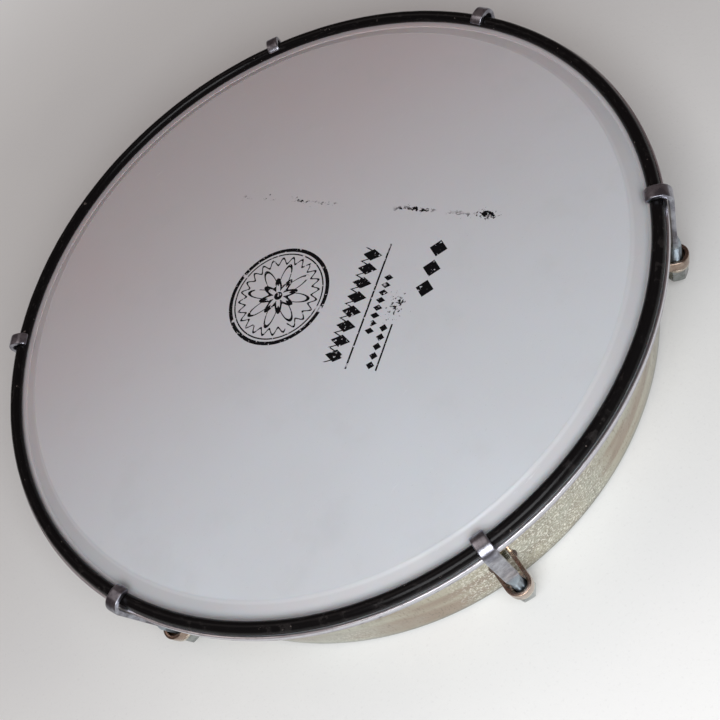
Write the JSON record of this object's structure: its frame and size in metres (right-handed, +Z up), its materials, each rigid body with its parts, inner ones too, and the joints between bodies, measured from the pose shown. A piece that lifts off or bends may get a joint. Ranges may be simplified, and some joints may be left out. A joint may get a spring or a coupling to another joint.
{
  "type": "bodhran",
  "caption": "Shallow round frame drum, open at the back, with a polished steel shell, a plastic head, a black round-bar counter hoop and hook-bolt tensioners.",
  "frame": {"origin": "on the drum's axis, in the plane that the shell's foot stands on, at the centre of the bottom of the box", "axes": "+Z up through the head along the drum's axis; +X and +Y across the drum, -Y towards the side that the camera sees"},
  "size_m": [0.3598, 0.3598, 0.0772],
  "materials": {
    "shell_steel": "polished bright steel sheet, slightly wavy, mirror-like",
    "head_film": "milky white translucent drumhead film with a soft sheen",
    "channel_aluminium": "dull bright aluminium with a rolled edge",
    "hoop_enamel": "glossy black enamel with small chips and rubbed spots",
    "hook_zinc": "bright zinc plate with fine scratches and cut threads",
    "lug_zinc": "yellow-brown passivated zinc plate, dull inside",
    "washer_zinc": "yellow-brown passivated zinc plate",
    "nut_steel": "grey zinc plate with turned corners"
  },
  "bodies": {
    "drum": {"shell": "shell_steel", "drum_head": "head_film", "flesh_hoop": "channel_aluminium", "counter_hoop": "hoop_enamel", "lug_1": "lug_zinc", "lug_2": "lug_zinc", "lug_3": "lug_zinc", "lug_4": "lug_zinc", "lug_5": "lug_zinc", "lug_6": "lug_zinc", "washer_1": "washer_zinc", "washer_2": "washer_zinc", "washer_3": "washer_zinc", "washer_4": "washer_zinc", "washer_5": "washer_zinc", "washer_6": "washer_zinc"},
    "hook_1": {"hook_bolt_1": "hook_zinc"},
    "nut_1": {"hex_nut_1": "nut_steel"},
    "hook_2": {"hook_bolt_2": "hook_zinc"},
    "nut_2": {"hex_nut_2": "nut_steel"},
    "hook_3": {"hook_bolt_3": "hook_zinc"},
    "nut_3": {"hex_nut_3": "nut_steel"},
    "hook_4": {"hook_bolt_4": "hook_zinc"},
    "nut_4": {"hex_nut_4": "nut_steel"},
    "hook_5": {"hook_bolt_5": "hook_zinc"},
    "nut_5": {"hex_nut_5": "nut_steel"},
    "hook_6": {"hook_bolt_6": "hook_zinc"},
    "nut_6": {"hex_nut_6": "nut_steel"}
  },
  "joints": [
    {"name": "nut_turn_1", "type": "hinge", "parent": "drum", "child": "nut_1", "pos_m": [-0.12787, 0.12092, 0.01393], "axis": [0.0759, -0.0718, -0.9945], "range_deg": [0, 2160]},
    {"name": "hook_lift_1", "type": "slide", "parent": "drum", "child": "hook_1", "axis": [-0.0759, 0.0718, 0.9945], "range_m": [0, 0.006]},
    {"name": "nut_turn_2", "type": "hinge", "parent": "drum", "child": "nut_2", "pos_m": [0.09892, 0.14556, 0.01393], "axis": [-0.0588, -0.0865, -0.9945], "range_deg": [0, 2160]},
    {"name": "hook_lift_2", "type": "slide", "parent": "drum", "child": "hook_2", "axis": [0.0588, 0.0865, 0.9945], "range_m": [0, 0.006]},
    {"name": "nut_turn_3", "type": "hinge", "parent": "drum", "child": "nut_3", "pos_m": [0.17202, 0.03719, 0.01393], "axis": [-0.1022, -0.0221, -0.9945], "range_deg": [0, 2160]},
    {"name": "hook_lift_3", "type": "slide", "parent": "drum", "child": "hook_3", "axis": [0.1022, 0.0221, 0.9945], "range_m": [0, 0.006]},
    {"name": "nut_turn_4", "type": "hinge", "parent": "drum", "child": "nut_4", "pos_m": [0.12872, -0.12003, 0.01393], "axis": [-0.0764, 0.0713, -0.9945], "range_deg": [0, 2160]},
    {"name": "hook_lift_4", "type": "slide", "parent": "drum", "child": "hook_4", "axis": [0.0764, -0.0713, 0.9945], "range_m": [0, 0.006]},
    {"name": "nut_turn_5", "type": "hinge", "parent": "drum", "child": "nut_5", "pos_m": [-0.03719, -0.17202, 0.01393], "axis": [0.0221, 0.1022, -0.9945], "range_deg": [0, 2160]},
    {"name": "hook_lift_5", "type": "slide", "parent": "drum", "child": "hook_5", "axis": [-0.0221, -0.1022, 0.9945], "range_m": [0, 0.006]},
    {"name": "nut_turn_6", "type": "hinge", "parent": "drum", "child": "nut_6", "pos_m": [-0.16661, -0.05672, 0.01393], "axis": [0.099, 0.0337, -0.9945], "range_deg": [0, 2160]},
    {"name": "hook_lift_6", "type": "slide", "parent": "drum", "child": "hook_6", "axis": [-0.099, -0.0337, 0.9945], "range_m": [0, 0.006]}
  ],
  "couplings": [
    {"joint": "nut_turn_1", "follows": "hook_lift_1", "rad_per_m": 6283.2},
    {"joint": "nut_turn_2", "follows": "hook_lift_2", "rad_per_m": 6283.2},
    {"joint": "nut_turn_3", "follows": "hook_lift_3", "rad_per_m": 6283.2},
    {"joint": "nut_turn_4", "follows": "hook_lift_4", "rad_per_m": 6283.2},
    {"joint": "nut_turn_5", "follows": "hook_lift_5", "rad_per_m": 6283.2},
    {"joint": "nut_turn_6", "follows": "hook_lift_6", "rad_per_m": 6283.2}
  ]
}
